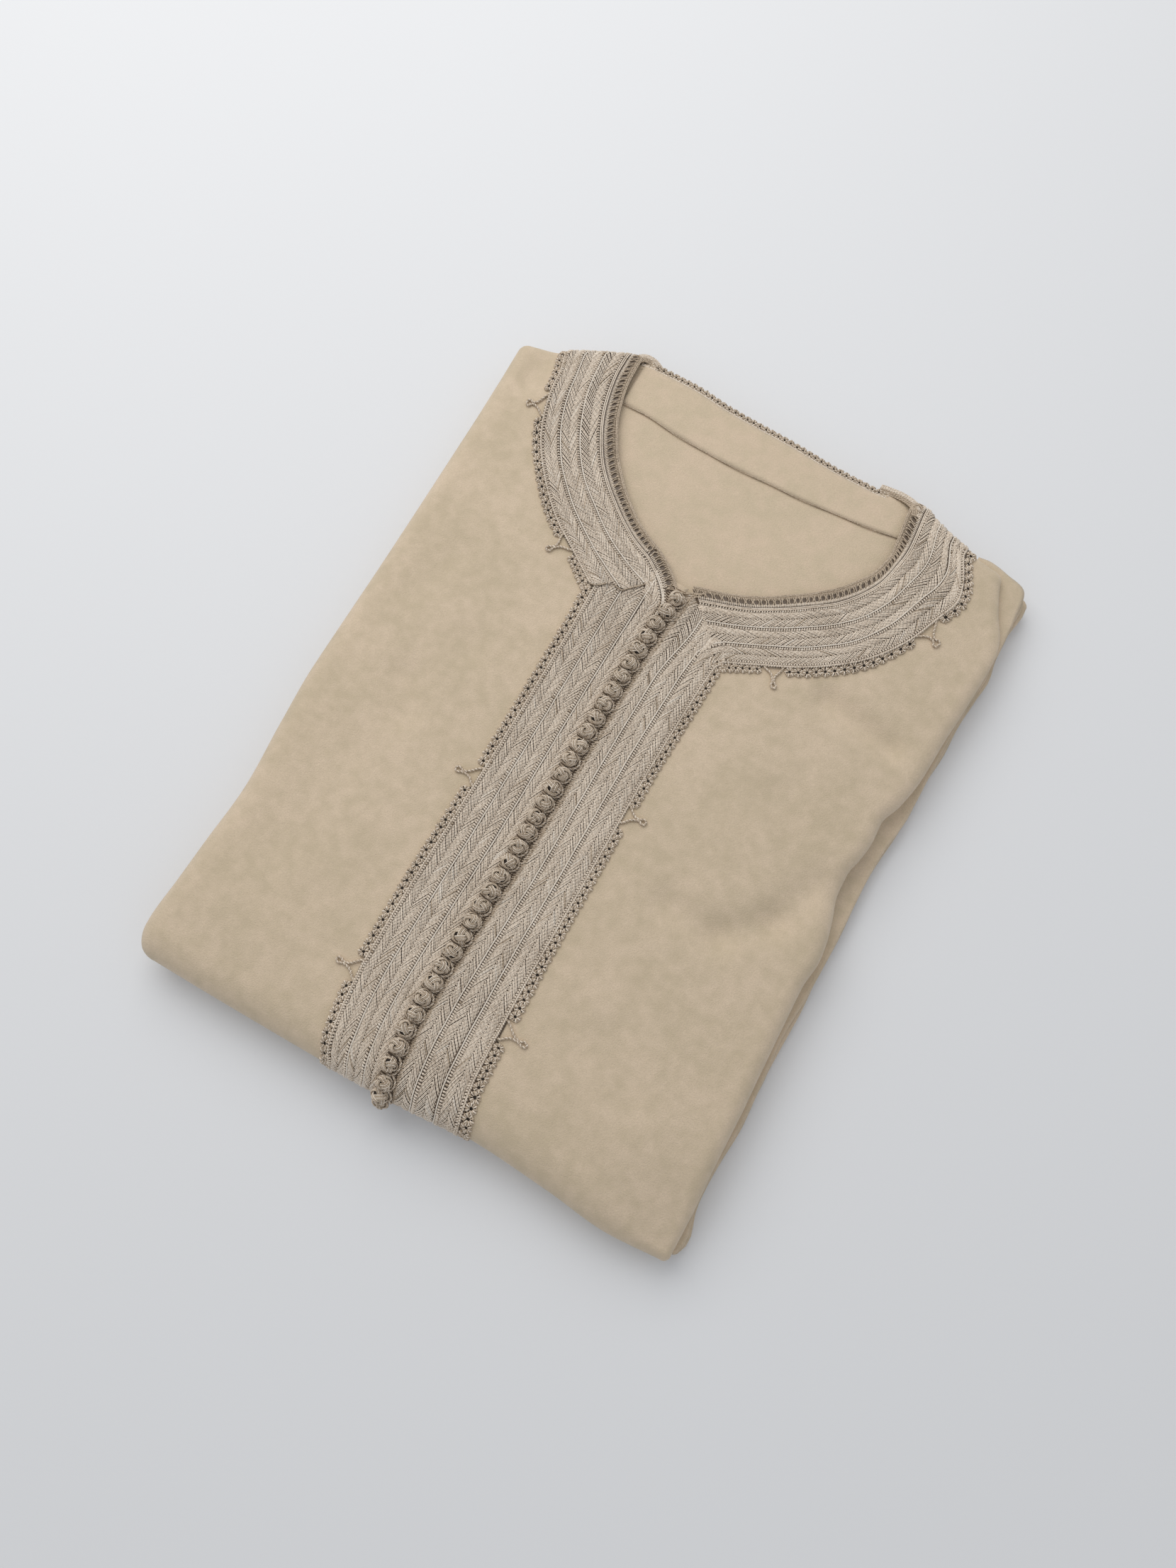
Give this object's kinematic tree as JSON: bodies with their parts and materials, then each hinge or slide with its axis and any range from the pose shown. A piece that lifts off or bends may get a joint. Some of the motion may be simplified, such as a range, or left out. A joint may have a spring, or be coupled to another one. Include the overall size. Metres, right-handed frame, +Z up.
{
  "type": "folded kaftan",
  "caption": "Long Moroccan kaftan folded into a flat packet, with braided neck and placket, a row of knot buttons and picot edging.",
  "frame": {"origin": "centre of the packet's underside, on the surface it rests on", "axes": "+X to the wearer's left, +Y from the bottom fold to the neck, +Z up out of the fronts"},
  "size_m": [0.3168, 0.4171, 0.036],
  "materials": {
    "crepe": "matt sueded crepe in warm sand beige, fine grain, soft nap",
    "crepe_inside": "wrong side of the same crepe, a little lighter and smoother",
    "silk_braid": "herringbone braid of greyish beige silk cord, low sheen",
    "silk_cord": "twisted greyish beige silk cord, low sheen"
  },
  "bodies": {
    "root": {"front_right": "crepe", "front_left": "crepe", "front_braid_right": "silk_braid", "front_braid_left": "silk_braid", "neck_braid_right": "silk_braid", "neck_braid_left": "silk_braid", "picot_front_right": "silk_cord", "picot_front_left": "silk_cord", "picot_outer_right": "silk_cord", "picot_inner_right": "silk_cord", "picot_outer_left": "silk_cord", "picot_inner_left": "silk_cord", "button_loops": "silk_cord", "knot_01": "silk_cord", "knot_02": "silk_cord", "knot_03": "silk_cord", "knot_04": "silk_cord", "knot_05": "silk_cord", "knot_06": "silk_cord", "knot_07": "silk_cord", "knot_08": "silk_cord", "knot_09": "silk_cord", "knot_10": "silk_cord", "knot_11": "silk_cord", "knot_12": "silk_cord", "knot_13": "silk_cord", "knot_14": "silk_cord", "knot_15": "silk_cord", "knot_16": "silk_cord", "knot_17": "silk_cord", "knot_18": "silk_cord", "knot_19": "silk_cord", "knot_20": "silk_cord", "knot_21": "silk_cord", "knot_22": "silk_cord", "knot_23": "silk_cord", "knot_24": "silk_cord", "knot_25": "silk_cord", "knot_26": "silk_cord", "knot_27": "silk_cord", "knot_28": "silk_cord", "knot_29": "silk_cord", "knot_30": "silk_cord", "knot_31": "silk_cord", "knot_32": "silk_cord", "knot_33": "silk_cord", "knot_34": "silk_cord", "knot_35": "silk_cord", "knot_36": "silk_cord", "back_panel": "crepe_inside", "back_facing": "crepe_inside", "neck_braid_back": "silk_braid", "picot_back": "silk_cord", "sleeve_left": "crepe", "hidden_layers": "crepe"}
  },
  "joints": []
}
